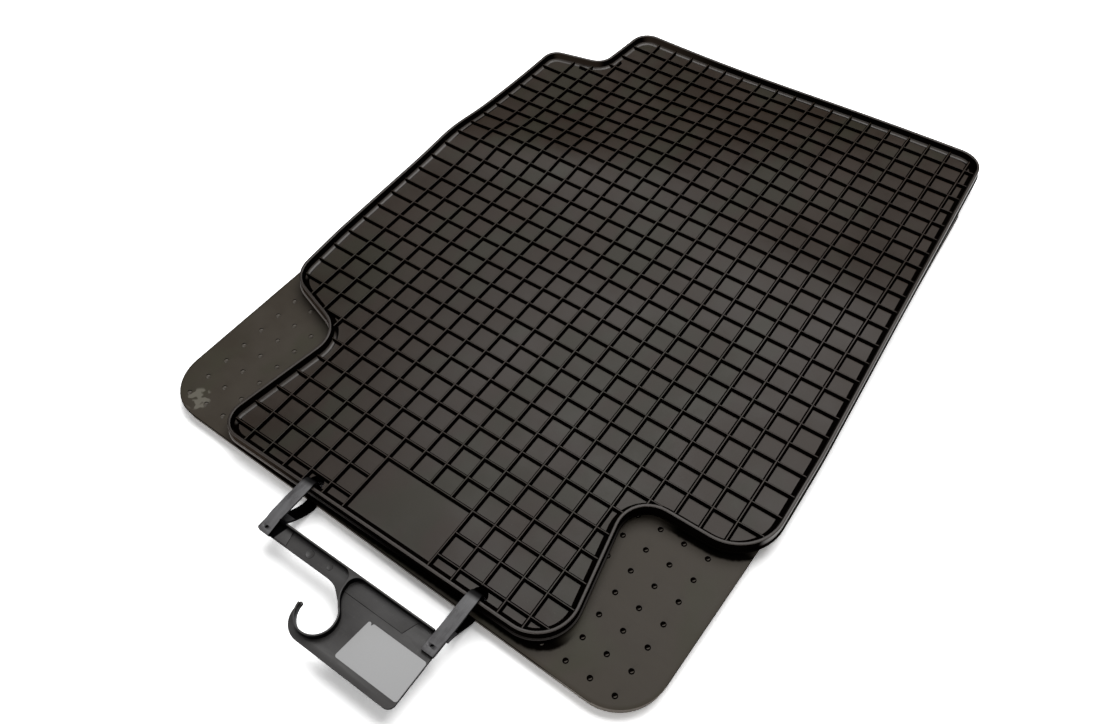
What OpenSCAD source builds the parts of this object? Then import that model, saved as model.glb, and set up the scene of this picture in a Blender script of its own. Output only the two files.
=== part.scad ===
// Pair of moulded rubber car floor mats on a plastic shop hanger, lying flat.
// The upper mat lies ribs up, the lower mat lies ribs down under it, back to back.
// The hanger's two tongues pass through holes punched in both mats.

/* [Mats] */
// Length of the upper mat, from its narrow end to its far end
upper_l = 649; // [600:1:720]
// Width of the upper mat's narrow end, measured at its sharp corners
end_w = 339; // [300:1:380]
// Narrowest width of the upper mat, at its waist
waist_w = 295; // [270:1:320]
// Distance from the narrow end to the left shoulder
left_shoulder_y = 126; // [115:1:150]
// Distance from the narrow end to the right shoulder
right_shoulder_y = 137; // [120:1:160]
// Reach of the upper mat to the left of its centre line
upper_left = 236; // [210:1:260]
// Reach of the upper mat to the right of its centre line
upper_right = 249; // [230:1:275]
// Width of the notch in the far left corner
notch_w = 64; // [40:1:90]
// Depth of the notch in the far left corner
notch_l = 72; // [40:1:110]
// Length of the lower mat
lower_l = 604; // [560:1:640]
// Width of the lower mat
lower_w = 480; // [440:1:520]
// Width left at the far end of the lower mat, beside its cut corner
lower_far_w = 190; // [150:1:260]
// Length of the lower mat's cut corner
lower_cut_l = 180; // [100:1:260]
// Turn of the lower mat under the upper one, in degrees
lower_turn = -1.1; // [-2:0.1:0]
// Distance that the lower mat stands out past the upper mat's narrow end
lower_proud = 3; // [0:0.5:5]

/* [Mat section] */
// Thickness of each mat's floor
floor_t = 3; // [2:0.1:4]
// Height of the rim above the floor
rim_h = 8; // [6:0.1:12]
// Width of the rim
rim_w = 3; // [2.5:0.1:5]
// Width of the thin lip outside the rim
lip_w = 1; // [0.5:0.1:3]
// Height of the ribs above the floor
rib_h = 3; // [1.5:0.1:4]
// Width of a rib
rib_w = 1.6; // [1:0.1:2.4]
// Distance from rib to rib
rib_pitch = 21; // [18:0.5:26]
// Width of the bare plaque, in rib cells
plaque_cells = 4; // [2:1:6]
// Length of the bare plaque
plaque_l = 58.5; // [40:0.5:70]
// Offset of the plaque's middle from the mats' centre line
plaque_x = 8.5; // [0:0.5:12]
// Distance from nub to nub on the backs
nub_pitch = 20.4; // [16:0.1:26]
// Diameter of a nub
nub_d = 3.6; // [2:0.1:6]
// Height of a nub
nub_h = 1.6; // [1:0.1:2.5]
// Gap between the nubs of the two mats
mat_gap = 0.3; // [0.2:0.05:1]

/* [Punched holes] */
// Diameter of the holes punched for the tongues
hole_d = 17.2; // [15:0.1:20]
// Distance from the upper mat's narrow end to the hole centres
hole_y = 12.9; // [12:0.1:15]
// Height of the notch that a tongue takes up in the lower mat's rim
notch_h = 4.5; // [3.5:0.1:6]
// Room beside a tongue in that notch
notch_room = 0.8; // [0.5:0.1:2]

/* [Hanger] */
// Width of the hanger
hanger_w = 171; // [165:1:190]
// Offset of the hanger's middle from the mats' centre line
hanger_x = 14.75; // [0:0.25:20]
// Distance from the left end of the hanger to the left tongue's centre
left_margin = 9.5; // [6:0.5:12]
// Depth of the hanger's bar
bar_l = 13.6; // [12:0.1:18]
// Distance from the bar's mat side to the bottom of the hanger's tab
tab_l = 60.1; // [58:0.1:70]
// Gap between the upper mat's narrow end and the bar, for fingers
grip_gap = 30; // [26:0.5:40]
// Thickness of the hanger's plate
plate_t = 2; // [1.5:0.1:3]
// Thickness of the hanger's stiffening flanges
flange_t = 1.4; // [1:0.1:2]
// Radius of the tab's outer corner
tab_corner_r = 6; // [3:0.5:10]
// Radius of the hook's throat
throat_r = 15.1; // [14:0.1:17]
// Width of the hook's arm at its tip
hook_tip_w = 3.2; // [2.4:0.1:4]
// Radius of the hook's outer edge
hook_r = 17; // [16:0.1:19]
// Distance from the bar to the top of the throat
throat_drop = 9.9; // [9:0.1:14]

/* [Tongues] */
// Distance between the two tongues
tongue_spacing = 158.5; // [150:0.5:160]
// Width of a tongue
tongue_w = 9.6; // [7:0.1:10.4]
// Thickness of a tongue
tongue_t = 2; // [1.6:0.1:2.4]
// Room between the upper mat's rim and a tongue
tongue_room = 1.8; // [1.5:0.1:4]
// Height of the tongues above the ground
ground_gap = 0.3; // [0.2:0.1:0.5]
// Distance from the tongues' risers to the hole centres
riser_off = 2.4; // [1.5:0.1:4]
// Radius of a tongue's bend under the mats
bend_r = 3; // [2:0.1:4]
// Gap at each tongue's bend over the mats
bend_gap = 0.4; // [0.3:0.05:0.8]
// Length of a tongue past the middle of its peg
tongue_end_l = 5.1; // [4:0.1:7]
// Diameter of the peg that holds a tongue's end
peg_d = 3; // [2:0.1:4]
// Diameter of the boss under the peg
boss_d = 5.5; // [5:0.1:7]
// Room around the peg
peg_room = 0.4; // [0.3:0.05:0.6]
// Height of the peg above the tongue
peg_proud = 0.8; // [0.5:0.1:2]

/* [Label] */
// Width of the label
label_w = 54; // [40:1:60]
// Length of the label
label_l = 32.6; // [24:0.1:36]
// Thickness of the label
label_t = 0.3; // [0.2:0.05:0.5]
// Distance from the bar to the label
label_drop = 6.8; // [5:0.1:8]
// Radius of the label's corners
label_r = 2; // [1:0.5:4]

/* [Hidden] */
$fn = 48;
eps = 0.01;

// Heights above the ground, from the lower mat's rim upwards
running_gap = 0.3;
lower_back_z = rim_h + floor_t;
upper_back_z = lower_back_z + 2 * nub_h + mat_gap;
upper_floor_z = upper_back_z + floor_t;
rim_top_z = upper_floor_z + rim_h;
tongue_z = rim_top_z + tongue_room;
plate_top_z = upper_floor_z + rib_h + 0.5;
flange_top_z = tongue_z - running_gap;
root_z = ground_gap + tongue_t / 2;
pivot_z = tongue_z + tongue_t / 2;

// Places along Y, from the upper mat's narrow end
riser_y = hole_y - riser_off;
bar_y = -grip_gap;
peg_y = bar_y - bar_l + 3.4;
tongue_x = [hanger_x - tongue_spacing / 2, hanger_x + tongue_spacing / 2];

// Places on the hanger, from the middle of the tongues at the bar's mat side
hanger_left = -tongue_spacing / 2 - left_margin;
hanger_right = hanger_left + hanger_w;
throat = [-2.7, -bar_l - throat_r - throat_drop];
hook_centre = [throat.x - throat_r - hook_tip_w + hook_r, hook_r - tab_l];
web_x = throat.x - 14.7;
web_r = 20;
web_turn = 40;
tab_left = 12;
inside_x = 20;
ridge_fillet_r = 8;
ridge_x = throat.x + 1.9;
ridge_turn = 52;

// ---- Outlines: each corner is [x, y, radius], counter-clockwise ----

function unit(v) = v / norm(v);
function left_of(v) = [-v.y, v.x];
function flat(p) = [p.x, p.y];
function turn_at(u, v) = atan2(u.x * v.y - u.y * v.x, u * v);
function before(list, i) = flat(list[(i + len(list) - 1) % len(list)]);
function after(list, i) = flat(list[(i + 1) % len(list)]);

// Points of an arc about a centre, from one angle to another
function arc(centre, r, from, to) =
    let (steps = max(2, ceil(abs(to - from) / 8)))
    [for (k = [0:steps]) centre + r * [cos(from + (to - from) * k / steps), sin(from + (to - from) * k / steps)]];

// Points of one rounded corner
function round_corner(a, b, c, r) =
    let (u = unit(b - a))
    let (turn = turn_at(u, unit(c - b)))
    let (start = b - u * abs(r * tan(turn / 2)))
    let (centre = start + left_of(u) * r * sign(turn))
    let (from = atan2(start.y - centre.y, start.x - centre.x))
    arc(centre, r, from, from + turn);

function rounded(corners) =
    [for (i = [0:len(corners) - 1])
        each round_corner(before(corners, i), flat(corners[i]), after(corners, i), corners[i].z)];

// The same outline moved inwards by d
function inset(corners, d) =
    [for (i = [0:len(corners) - 1])
        let (u = unit(flat(corners[i]) - before(corners, i)))
        let (v = unit(after(corners, i) - flat(corners[i])))
        let (p = flat(corners[i]) + d * (left_of(u) + left_of(v)) / (1 + left_of(u) * left_of(v)))
        [p.x, p.y, corners[i].z - d * sign(turn_at(u, v))]];

// Outline of a band of even thickness along an open path
function bend_normal(path, i) =
    let (a = left_of(unit(path[max(i, 1)] - path[max(i, 1) - 1])))
    let (b = left_of(unit(path[min(i, len(path) - 2) + 1] - path[min(i, len(path) - 2)])))
    (a + b) / (1 + a * b);

function band(path, t) =
    concat([for (i = [0:len(path) - 1]) path[i] + bend_normal(path, i) * t / 2],
           [for (i = [len(path) - 1:-1:0]) path[i] - bend_normal(path, i) * t / 2]);

function turned(p, a) = [p.x * cos(a) - p.y * sin(a), p.x * sin(a) + p.y * cos(a)];

far_right = upper_right - 17;
far_left = notch_w - upper_left + 8;
upper_corners = [
    [-end_w / 2, 0, 28],
    [end_w / 2, 0, 34],
    [waist_w / 2 - 3.5, right_shoulder_y - 0.7, 23],
    [upper_right + 0.5, right_shoulder_y - 0.2, 42],
    [upper_right - 0.5, right_shoulder_y + 110, 900],
    [far_right, upper_l, 26],
    [far_left, upper_l, 22],
    [far_left - 8, upper_l - notch_l, 16],
    [4 - upper_left, upper_l - notch_l - 13.5, 18],
    [-upper_left, left_shoulder_y + 222, 1500],
    [2.5 - upper_left, left_shoulder_y + 92, 200],
    [6.5 - upper_left, left_shoulder_y + 25.5, 32],
    [-waist_w / 2 - 3, left_shoulder_y, 26]
];

lower_top = lower_l - lower_proud;
lower_side = lower_w / 2;
lower_corners = [
    [1 - lower_side, -lower_proud, 40],
    [lower_side - 4.5, -lower_proud, 40],
    [lower_side, 263, 900],
    [lower_side - 16, lower_top, 30],
    [lower_side - lower_far_w, lower_top, 25],
    [lower_side - lower_far_w - 13, lower_top - 72, 30],
    [lower_side - lower_far_w - 122, lower_top - lower_cut_l + 20, 60],
    [-lower_side, lower_top - lower_cut_l, 25]
];

// The ribs and nubs are laid over a field larger than either mat, then cut to the rims
margin = 20;
field_x = max(upper_left, upper_right, lower_side) + margin;
field_y = max(upper_l, lower_l) + margin;
first_nub = [7.2, 10.6];
nub_edge = 9;

// The frame's origin is the middle of the whole set's box, on the ground
upper_points = rounded(upper_corners);
lower_points = [for (p = rounded(lower_corners)) turned(p, lower_turn)];
mat_xs = [for (p = concat(upper_points, lower_points)) p.x];
mid_x = (min(mat_xs) + max(mat_xs)) / 2;
mid_y = (upper_l + bar_y - tab_l) / 2;

module in_frame() {
    translate([-mid_x, -mid_y, 0]) children();
}

// ---- Mats ----

function lattice(first, pitch, low, high) =
    [for (i = [ceil((low - first) / pitch):floor((high - first) / pitch)]) first + i * pitch];

module slab(corners, d, z, h) {
    translate([0, 0, z]) linear_extrude(h) polygon(rounded(inset(corners, d)));
}

// Ribs both ways over the whole floor, with the first crossing at the plaque's corner
module ribs(z) {
    for (x = lattice(plaque_x - plaque_cells * rib_pitch / 2, rib_pitch, -field_x, field_x))
        translate([x - rib_w / 2, -margin, z]) cube([rib_w, field_y + margin, rib_h + eps]);
    for (y = lattice(plaque_l, rib_pitch, -margin, field_y))
        translate([-field_x, y - rib_w / 2, z]) cube([2 * field_x, rib_w, rib_h + eps]);
}

// The bare rectangle that the ribs frame at the narrow end
module plaque_space() {
    w = plaque_cells * rib_pitch - rib_w;
    l = margin + plaque_l - rib_w / 2;
    translate([plaque_x - w / 2, -margin, 0]) cube([w, l, 2 * (floor_t + rib_h)]);
}

module nubs(z) {
    for (x = lattice(first_nub.x, nub_pitch, -field_x, field_x))
        for (y = lattice(first_nub.y, nub_pitch, -margin, field_y))
            translate([x, y, z]) cylinder(d = nub_d, h = nub_h + eps, $fn = 24);
}

// A mat, ribs up, with its back at z = 0
module mat(corners) {
    rim_in = lip_w + rim_w;
    slab(corners, 0, 0, floor_t);
    difference() {
        slab(corners, lip_w, 0, floor_t + rim_h);
        slab(corners, rim_in, floor_t, rim_h + 1);
    }
    intersection() {
        difference() {
            ribs(floor_t - eps);
            plaque_space();
        }
        slab(corners, rim_in - eps, 0, floor_t + rib_h + 1);
    }
    intersection() {
        nubs(-nub_h);
        slab(corners, nub_edge, -nub_h, floor_t);
    }
}

module punched_holes() {
    for (x = tongue_x)
        translate([x, hole_y, -1]) cylinder(d = hole_d, h = rim_top_z + 2);
}

module upper_mat() {
    color([0.16, 0.15, 0.14]) in_frame() difference() {
        translate([0, 0, upper_back_z]) mat(upper_corners);
        punched_holes();
    }
}

module lower_mat() {
    gap_w = tongue_w + 2 * notch_room;
    color([0.19, 0.18, 0.17]) in_frame() difference() {
        rotate([0, 0, lower_turn]) translate([0, 0, lower_back_z]) mirror([0, 0, 1]) mat(lower_corners);
        punched_holes();
        for (x = tongue_x)
            translate([x - gap_w / 2, -margin, -1]) cube([gap_w, margin + hole_y, 1 + notch_h]);
    }
}

// ---- Hanger ----

// Flat outline of the plate: bar, web, tab and hook
module plate_shape() {
    web_end = 90 - web_turn;
    web = concat([[web_x, 0]], arc([web_x, -bar_l - web_r], web_r, 90, web_end),
                 [throat + throat_r * [cos(web_end), sin(web_end)]], [[inside_x, throat.y], [inside_x, 0]]);
    translate([hanger_left, -bar_l]) square([hanger_w, bar_l]);
    polygon(web);
    difference() {
        union() {
            translate([tab_left, -tab_l]) square([hanger_right - tab_left - tab_corner_r, tab_l]);
            translate([tab_left, tab_corner_r - tab_l]) square([hanger_right - tab_left, tab_l - tab_corner_r]);
            translate([hanger_right - tab_corner_r, tab_corner_r - tab_l]) circle(tab_corner_r);
            translate([hook_centre.x, -tab_l]) square([inside_x, tab_l + throat.y]);
            translate(hook_centre) circle(hook_r);
            translate(hook_centre - [hook_r, 0]) square([hook_r, throat.y - hook_centre.y]);
        }
        translate(throat) circle(throat_r);
        translate([throat.x - hook_r - hook_tip_w, throat.y]) square(hook_r + hook_tip_w);
    }
    translate([throat.x - throat_r - hook_tip_w / 2, throat.y]) circle(d = hook_tip_w);
}

// Flanges that stand on the plate: mat side, hook edge and the ridge between them
module flange_shape() {
    ridge = [throat + (throat_r + flange_t / 2) * [cos(ridge_turn), sin(ridge_turn)],
             [ridge_x + 3.1, throat.y + 18], [ridge_x + 0.6, throat.y + 24], [ridge_x, throat.y + 30],
             [ridge_x, -flange_t / 2]];
    translate([hanger_left, -flange_t]) square([hanger_w, flange_t]);
    polygon(band(ridge, flange_t));
    difference() {
        translate([ridge_x - ridge_fillet_r, -flange_t - ridge_fillet_r])
            square([2 * ridge_fillet_r, ridge_fillet_r + eps]);
        for (side = [-1, 1])
            translate([ridge_x + side * (ridge_fillet_r + flange_t / 2), -flange_t - ridge_fillet_r])
                circle(ridge_fillet_r);
    }
    intersection() {
        difference() {
            translate(throat) circle(throat_r + flange_t);
            translate(throat) circle(throat_r);
        }
        polygon(concat([throat], arc(throat, 2 * throat_r, -180, ridge_turn)));
    }
}

module hanger() {
    color([0.20, 0.19, 0.20]) in_frame() translate([hanger_x, bar_y, 0]) {
        translate([0, 0, plate_top_z - plate_t]) linear_extrude(plate_t) plate_shape();
        translate([0, 0, plate_top_z - eps]) linear_extrude(flange_top_z - plate_top_z + eps) flange_shape();
        for (x = [-tongue_spacing / 2, tongue_spacing / 2])
            translate([x, peg_y - bar_y, plate_top_z - eps]) {
                cylinder(d = boss_d, h = flange_top_z - plate_top_z + eps);
                cylinder(d = peg_d, h = tongue_z + tongue_t + peg_proud - plate_top_z);
            }
    }
}

// ---- Tongues: the root loops under and up through the mats, the end lies over the rim ----

module across(w) {
    rotate([90, 0, 90]) translate([0, 0, -w / 2]) linear_extrude(w) children();
}

// From the bar down a slope, under the mats, round the bend and up the riser to its rounded nose
module tongue_root(x) {
    bar_end = [bar_y - flange_t, plate_top_z - 0.6];
    foot = arc([riser_y - bend_r, root_z + bend_r], bend_r, -90, 0);
    nose = arc([riser_y, pivot_z], tongue_t / 2, 0, 180);
    path = concat([bar_end, [1 - lower_proud, root_z]], foot, [[riser_y, pivot_z]]);
    sides = band(path, tongue_t);
    n = len(path);
    outline = concat([for (i = [0:n - 2]) sides[i]], [for (i = [len(nose) - 1:-1:0]) nose[i]],
                     [for (i = [n + 1:2 * n - 1]) sides[i]]);
    color([0.21, 0.20, 0.21]) in_frame() translate([x, 0, 0]) across(tongue_w) difference() {
        polygon(outline);
        translate([bar_y - margin, 0]) square([margin, rim_top_z]);
    }
}

module tongue_end(x) {
    y_end = peg_y - tongue_end_l;
    y_bend = riser_y - tongue_t / 2 - bend_gap;
    color([0.25, 0.24, 0.25]) in_frame() difference() {
        translate([x - tongue_w / 2, y_end, tongue_z]) cube([tongue_w, y_bend - y_end, tongue_t]);
        translate([x, peg_y, tongue_z - 1]) cylinder(d = peg_d + 2 * peg_room, h = tongue_t + 2);
    }
}

module left_tongue_root() { tongue_root(tongue_x[0]); }
module right_tongue_root() { tongue_root(tongue_x[1]); }
module left_tongue_end() { tongue_end(tongue_x[0]); }
module right_tongue_end() { tongue_end(tongue_x[1]); }

// ---- Label, stuck on the tab along its right edge ----

module label() {
    top = bar_y - bar_l - label_drop;
    right = hanger_x + hanger_right - 0.5;
    slant = 1.5;
    label_corners = [[right - label_w - slant, top - label_l, label_r], [right, top - label_l, label_r],
                     [right, top, label_r], [right - label_w + slant, top, label_r]];
    color([0.75, 0.75, 0.75]) in_frame() translate([0, 0, plate_top_z])
        linear_extrude(label_t) polygon(rounded(label_corners));
}

upper_mat();
lower_mat();
hanger();
left_tongue_root();
right_tongue_root();
left_tongue_end();
right_tongue_end();
label();
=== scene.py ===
"""Looks of a pair of moulded rubber car floor mats on a plastic shop hanger.

Tables are in millimetres from the upper mat's near end and centre line, as in the part's own plan.
Materials are in metres in the frame.
"""

import math

import bmesh
import bpy
import numpy as np
from mathutils import Matrix, Vector
from mathutils.geometry import delaunay_2d_cdt


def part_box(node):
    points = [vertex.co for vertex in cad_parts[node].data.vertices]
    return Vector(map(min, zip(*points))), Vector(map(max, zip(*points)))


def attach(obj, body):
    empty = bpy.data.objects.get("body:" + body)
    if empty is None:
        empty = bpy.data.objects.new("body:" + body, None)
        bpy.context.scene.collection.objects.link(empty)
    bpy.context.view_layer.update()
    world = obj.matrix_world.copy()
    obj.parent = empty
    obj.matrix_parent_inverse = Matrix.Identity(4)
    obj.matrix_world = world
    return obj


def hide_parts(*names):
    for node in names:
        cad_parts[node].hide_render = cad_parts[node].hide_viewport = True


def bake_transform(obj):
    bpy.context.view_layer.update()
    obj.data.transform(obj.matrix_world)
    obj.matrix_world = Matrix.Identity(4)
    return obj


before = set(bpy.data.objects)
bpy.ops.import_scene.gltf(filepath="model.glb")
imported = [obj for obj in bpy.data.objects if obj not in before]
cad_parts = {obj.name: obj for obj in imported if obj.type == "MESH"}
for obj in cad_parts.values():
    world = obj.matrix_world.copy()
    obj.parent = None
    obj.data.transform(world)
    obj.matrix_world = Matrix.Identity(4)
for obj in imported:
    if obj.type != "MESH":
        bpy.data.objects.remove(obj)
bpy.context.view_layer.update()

MM = 0.001

# ---------------------------------------------------------------- places from the frame
mat_low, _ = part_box("upper_mat")
left_low, left_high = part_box("left_tongue_root")

LEFT_TONGUE_X = -64.5
RIGHT_TONGUE_X = 94.0
# Place in the frame of the zero point of the tables
ORIGIN = Vector(((left_low.x + left_high.x) / 2 - LEFT_TONGUE_X * MM, mat_low.y, 0))

# ---------------------------------------------------------------- sizes of the mats
# Corners of the outlines, counter-clockwise: x, y and radius
UPPER_CORNERS = [
    (-169.5, 0, 22), (169.5, 0, 34), (144, 136.3, 23), (249.5, 136.8, 42), (248.5, 247, 900),
    (232, 649, 26), (-164, 649, 22), (-172, 577, 16), (-232, 563.5, 18), (-236, 348, 1500),
    (-233.5, 218, 200), (-229.5, 151.5, 32), (-150.5, 126, 26),
]
LOWER_CORNERS = [
    (-239, -3, 40), (235.5, -3, 40), (240, 263, 900), (224, 601, 30),
    (50, 601, 25), (37, 529, 30), (-72, 441, 60), (-240, 421, 25),
]
# Turn of the lower mat in the plan
LOWER_TURN = math.radians(-1.1)
# Thickness of the floors, and height of each mat's back over the ground
FLOOR_T = 3.0
UPPER_BACK_Z = 14.5
LOWER_BACK_Z = 11.0
# The punched holes, and the heights between which they are cut
HOLE_R = 6.5
HOLES = [(LEFT_TONGUE_X - 0.8, 9.6), (RIGHT_TONGUE_X + 0.8, 9.3)]
HOLE_CUT = (-5, 20)

# The square lattice of ribs: pitch and first crossing
PITCH = 21.0
RIB_X0 = -33.5
RIB_Y0 = 58.5
# The bare plaque: left, right and far side
PLAQUE = (-33.5, 50.5, 58.5)
# Inset of the ribs' ends, inset inside which a rib has to run, its shortest run there, and how far it runs on
RIB_END_INSET = 4.3
RIB_FIELD_INSET = 14.0
RIB_SHORTEST = 5
RIB_RUN_ON = 17
RIB_HOLE_GAP = 0.3

# The nubs on the backs: first one, pitch, inset from the edge and room round a hole
NUB_FIRST = (7.2, 10.6)
NUB_PITCH = 20.4
NUB_INSET = 7.0
NUB_HOLE_ROOM = 2.4

# The notches in the lower mat's rim where the tongues cross under it: half width, middle, end and heights
NOTCH_HALF_W = 5.6
NOTCH_MID_Y = -1.0
NOTCH_END_Y = 12.9
NOTCH_CUT = (-1.0, 4.5)

# Section of the rim: distance inwards from the lip's edge, height over the mat's back
RIM_SECTION = [
    (9.4, 0.0), (3.6, 0.0), (0.35, 0.0), (0.08, 0.12), (0.0, 0.4), (0.0, 1.2), (0.1, 1.7), (0.4, 2.05),
    (0.8, 2.2), (1.2, 2.25), (1.32, 2.5), (1.35, 6.0), (1.38, 9.6), (1.45, 10.3), (1.6, 10.75),
    (1.85, 10.95), (2.25, 11.0), (3.2, 11.0), (3.65, 10.95), (3.95, 10.7), (4.15, 10.2), (4.45, 8.8),
    (4.9, 6.8), (5.4, 5.1), (6.05, 4.1), (6.9, 3.5), (7.9, 3.15), (8.8, 3.02), (9.4, 3.0),
]
# Sections of the ribs along and of the slightly lower ribs across: half width and height over the mat's back
ALONG_SECTION = [(2.2, 2.9), (2.05, 3.03), (1.7, 3.35), (1.3, 4.3), (0.85, 5.5), (0.68, 5.85), (0.44, 6.0)]
ACROSS_SECTION = [(2.2, 2.9), (2.05, 3.03), (1.7, 3.35), (1.3, 4.3), (0.8, 5.4), (0.6, 5.68), (0.34, 5.8)]
# Section of a nub: radius and height over the back
NUB_SECTION = [(2.4, -0.2), (2.3, 0.0), (2.05, 0.35), (1.8, 0.95), (1.3, 1.4), (0.5, 1.62)]
# Low humps and hollows of the upper mat: centre, spreads, turn in degrees, height
WAVES = [
    (-182.5, 405.5, 91.0, 23.0, 19.0, 4.8),
    (12.5, 514.5, 82.0, 48.0, 29.0, 6.0),
    (459.2, 1025.7, 1396.0, 73.0, 35.6, -7.3),
    (131.5, 415.5, 155.0, 47.0, -2.0, 4.7),
    (-12.5, 264.5, 63.0, 50.0, 50.0, 2.3),
]


def wave_height(x, y):
    """Height that the upper mat's humps and hollows add at a place in the plan."""
    total = np.zeros_like(x, dtype=float)
    for cx, cy, sx, sy, turn, height in WAVES:
        c, s = math.cos(math.radians(turn)), math.sin(math.radians(turn))
        u = (x - cx) * c + (y - cy) * s
        v = -(x - cx) * s + (y - cy) * c
        total += height * np.exp(-0.5 * ((u / sx) ** 2 + (v / sy) ** 2))
    return total


# ---------------------------------------------------------------- outlines
def unit(v):
    return v / np.linalg.norm(v)


def left_of(v):
    return np.array([-v[1], v[0]])


def corner_arcs(corners):
    """Centre, radius, first angle and turn of each rounded corner of an outline."""
    arcs = []
    for i, (x, y, r) in enumerate(corners):
        here = np.array([x, y], float)
        u = unit(here - np.array(corners[i - 1][:2], float))
        v = unit(np.array(corners[(i + 1) % len(corners)][:2], float) - here)
        turn = math.atan2(u[0] * v[1] - u[1] * v[0], float(u @ v))
        start = here - u * abs(r * math.tan(turn / 2))
        centre = start + left_of(u) * r * math.copysign(1, turn)
        first = math.atan2(start[1] - centre[1], start[0] - centre[0])
        arcs.append((centre, r, first, turn))
    return arcs


# Points along an outline are at most this far apart, and closer on tight corners
STEP = 8.0


def ring(corners, inset):
    """Points of an outline moved inwards, with the same count at every inset."""
    arcs = corner_arcs(corners)
    curves = []
    for centre, r, first, turn in arcs:
        count = max(2, math.ceil(abs(turn) * r / min(STEP, 4.0 + r / 60)))
        radius = r - inset * math.copysign(1, turn)
        angles = first + turn * np.arange(count + 1) / count
        curves.append(np.stack([centre[0] + radius * np.cos(angles), centre[1] + radius * np.sin(angles)], 1))
    points = []
    for i, curve in enumerate(curves):
        points.extend(curve)
        following = curves[(i + 1) % len(curves)]
        c0, r0, f0, t0 = arcs[i]
        c1, r1, f1, _ = arcs[(i + 1) % len(arcs)]
        outer_end = c0 + r0 * np.array([math.cos(f0 + t0), math.sin(f0 + t0)])
        outer_start = c1 + r1 * np.array([math.cos(f1), math.sin(f1)])
        count = max(1, round(float(np.linalg.norm(outer_start - outer_end)) / STEP))
        for k in range(1, count):
            points.append(curve[-1] + (following[0] - curve[-1]) * k / count)
    return np.array(points)


def crossings(outline, axis, value):
    """Sorted stretches, inside an outline, of a line at x = value (axis 0) or y = value (axis 1)."""
    a, b = outline, np.roll(outline, -1, 0)
    hit = (a[:, axis] > value) != (b[:, axis] > value)
    a, b = a[hit], b[hit]
    t = (value - a[:, axis]) / (b[:, axis] - a[:, axis])
    cuts = np.sort(a[:, 1 - axis] + t * (b[:, 1 - axis] - a[:, 1 - axis]))
    return [(cuts[i], cuts[i + 1]) for i in range(0, len(cuts) - 1, 2)]


SHORTEST_PIECE = 0.5


def without(stretches, low, high):
    """The stretches with the part from low to high taken out, and no scraps left over."""
    kept = []
    for a, b in stretches:
        if a < low:
            kept.append((a, min(b, low)))
        if b > high:
            kept.append((max(a, high), b))
    return [(a, b) for a, b in kept if b - a > SHORTEST_PIECE]


# ---------------------------------------------------------------- meshes
SMOOTH_ANGLE = math.radians(38)


class Shape:
    """Points in millimetres and faces, collected before they become a Blender mesh."""

    def __init__(self):
        self.points = []
        self.faces = []
        self.count = 0

    def add(self, points, faces):
        points = np.asarray(points, float)
        self.points.append(points)
        self.faces.extend([tuple(int(i) + self.count for i in f) for f in faces])
        self.count += len(points)

    def array(self):
        return np.concatenate(self.points)


def sleeve(rows, n):
    """Faces between rows of n points that each close round."""
    faces = []
    for j in range(rows - 1):
        for k in range(n):
            m = (k + 1) % n
            faces.append((j * n + k, j * n + m, (j + 1) * n + m, (j + 1) * n + k))
    return faces


def closed_sleeve(rows, n):
    """The same, with a face over the first row and one over the last."""
    return sleeve(rows, n) + [tuple(range(n)), tuple(range((rows - 1) * n, rows * n))]


def mesh_object(name, points, faces):
    """A Blender object from millimetre points in the part's plan."""
    mesh = bpy.data.meshes.new(name)
    co = np.asarray(points, float) * MM + np.array(ORIGIN)
    mesh.from_pydata(co.tolist(), [], faces)
    mesh.validate()
    bm = bmesh.new()
    bm.from_mesh(mesh)
    bmesh.ops.recalc_face_normals(bm, faces=bm.faces)
    bm.to_mesh(mesh)
    bm.free()
    mesh.polygons.foreach_set("use_smooth", [True] * len(mesh.polygons))
    mesh.set_sharp_from_angle(angle=SMOOTH_ANGLE)
    obj = bpy.data.objects.new(name, mesh)
    bpy.context.scene.collection.objects.link(obj)
    return obj


def bar(axis, value, low, high, section, step=STEP):
    """A bar along y at x = value (axis 0) or along x at y = value (axis 1), with closed ends."""
    loop = [(-w, z) for w, z in section] + [(w, z) for w, z in reversed(section)]
    stations = np.linspace(low, high, max(2, math.ceil((high - low) / step) + 1))
    points = []
    for s in stations:
        for w, z in loop:
            points.append((value + w, s, z) if axis == 0 else (s, value + w, z))
    return points, closed_sleeve(len(stations), len(loop))


def turned_dome(x, y, section, sides=14):
    """A round piece about an upright line, from its section of radius and height."""
    points = []
    for r, z in section:
        for k in range(sides):
            a = 2 * math.pi * k / sides
            points.append((x + r * math.cos(a), y + r * math.sin(a), z))
    return points, closed_sleeve(len(section), sides)


# Inner points of a mat's floor start this far inside the rim, and are shifted off the lattice
GRID_MARGIN = 4.0
GRID_SHIFT = 0.37


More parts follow.
